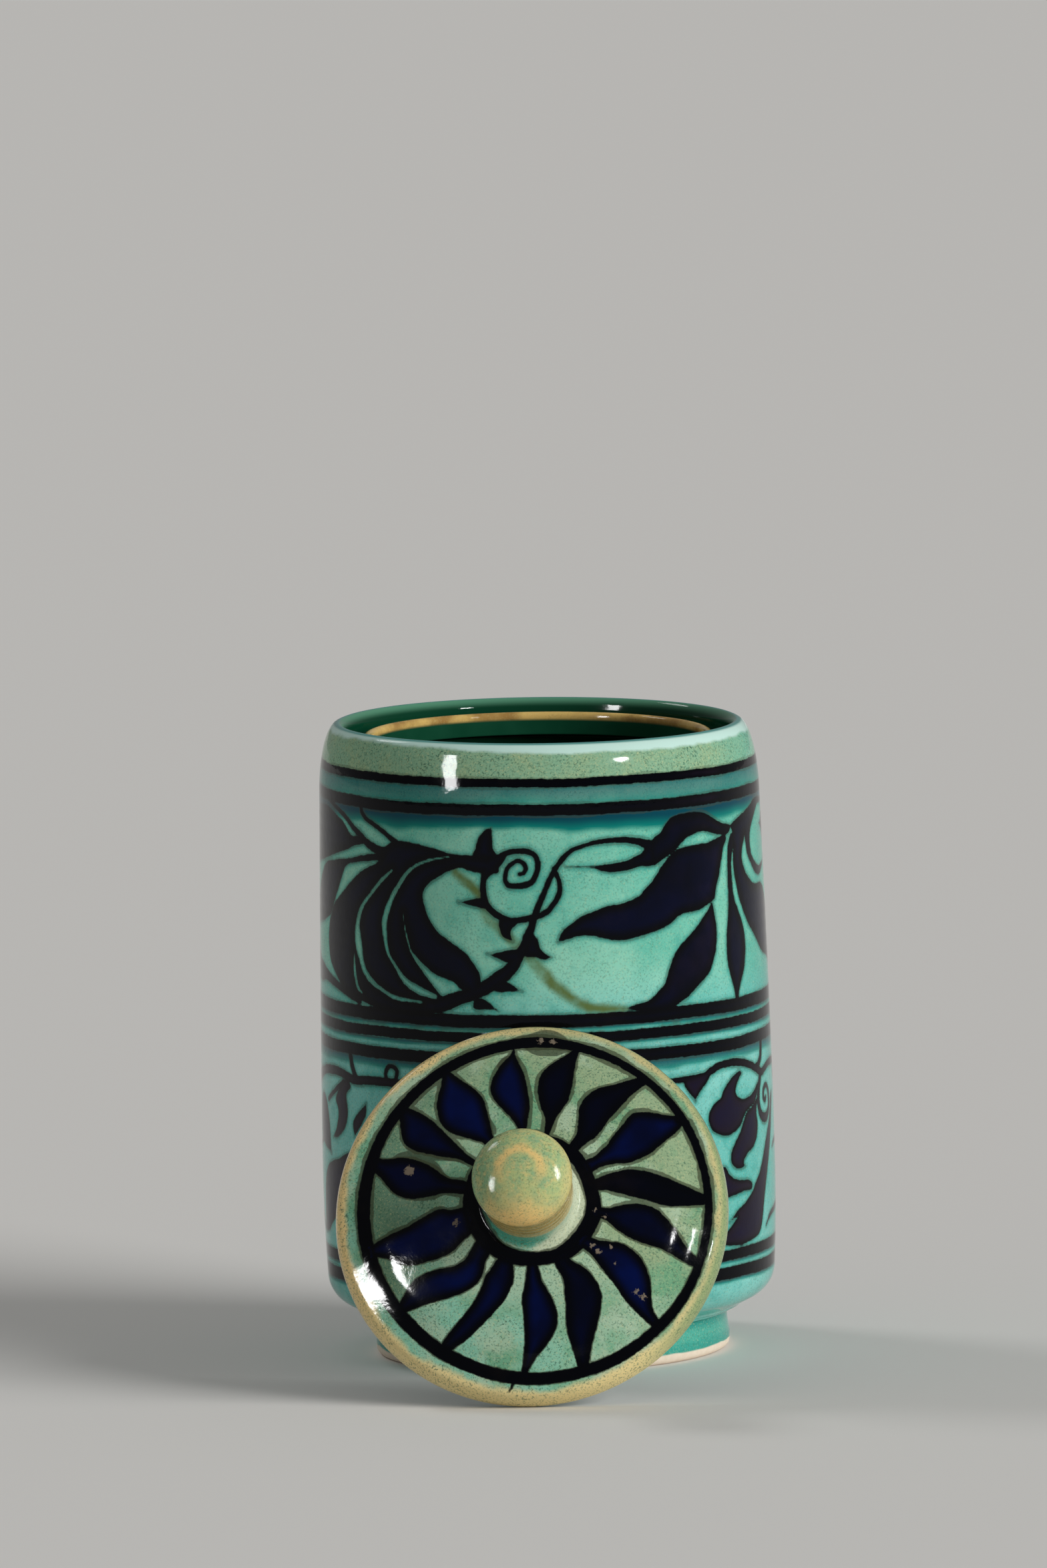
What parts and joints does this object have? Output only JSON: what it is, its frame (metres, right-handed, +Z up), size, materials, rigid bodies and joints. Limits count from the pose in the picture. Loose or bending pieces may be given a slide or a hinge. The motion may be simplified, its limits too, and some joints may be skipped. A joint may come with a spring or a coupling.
{
  "type": "lidded pottery jar",
  "caption": "Glazed stoneware jar with a turned foot, a ledge inside its rim and a domed lid with a knob; the lid is off and leans on the wall.",
  "frame": {"origin": "middle of the footprint of the jar and its leaning lid, on the table", "axes": "+Z up; the lid leans on the -Y side of the jar; +X across both"},
  "size_m": [0.112, 0.1706, 0.1564],
  "materials": {
    "turquoise_glaze": "gloss glaze",
    "fired_clay": "glazed above, bare clay below",
    "gallery_glaze": "gloss glaze",
    "lid_glaze": "gloss glaze",
    "knob_glaze": "gloss glaze"
  },
  "bodies": {
    "jar": {"jar_body": "turquoise_glaze", "foot_ring": "fired_clay", "gallery_ring": "gallery_glaze"},
    "lid": {"lid_plate": "lid_glaze", "lid_knob": "knob_glaze"}
  },
  "joints": [
    {"name": "lid_lift", "type": "slide", "parent": "jar", "child": "lid", "axis": [0, 0, 1], "range_m": [0, 0.18]}
  ]
}
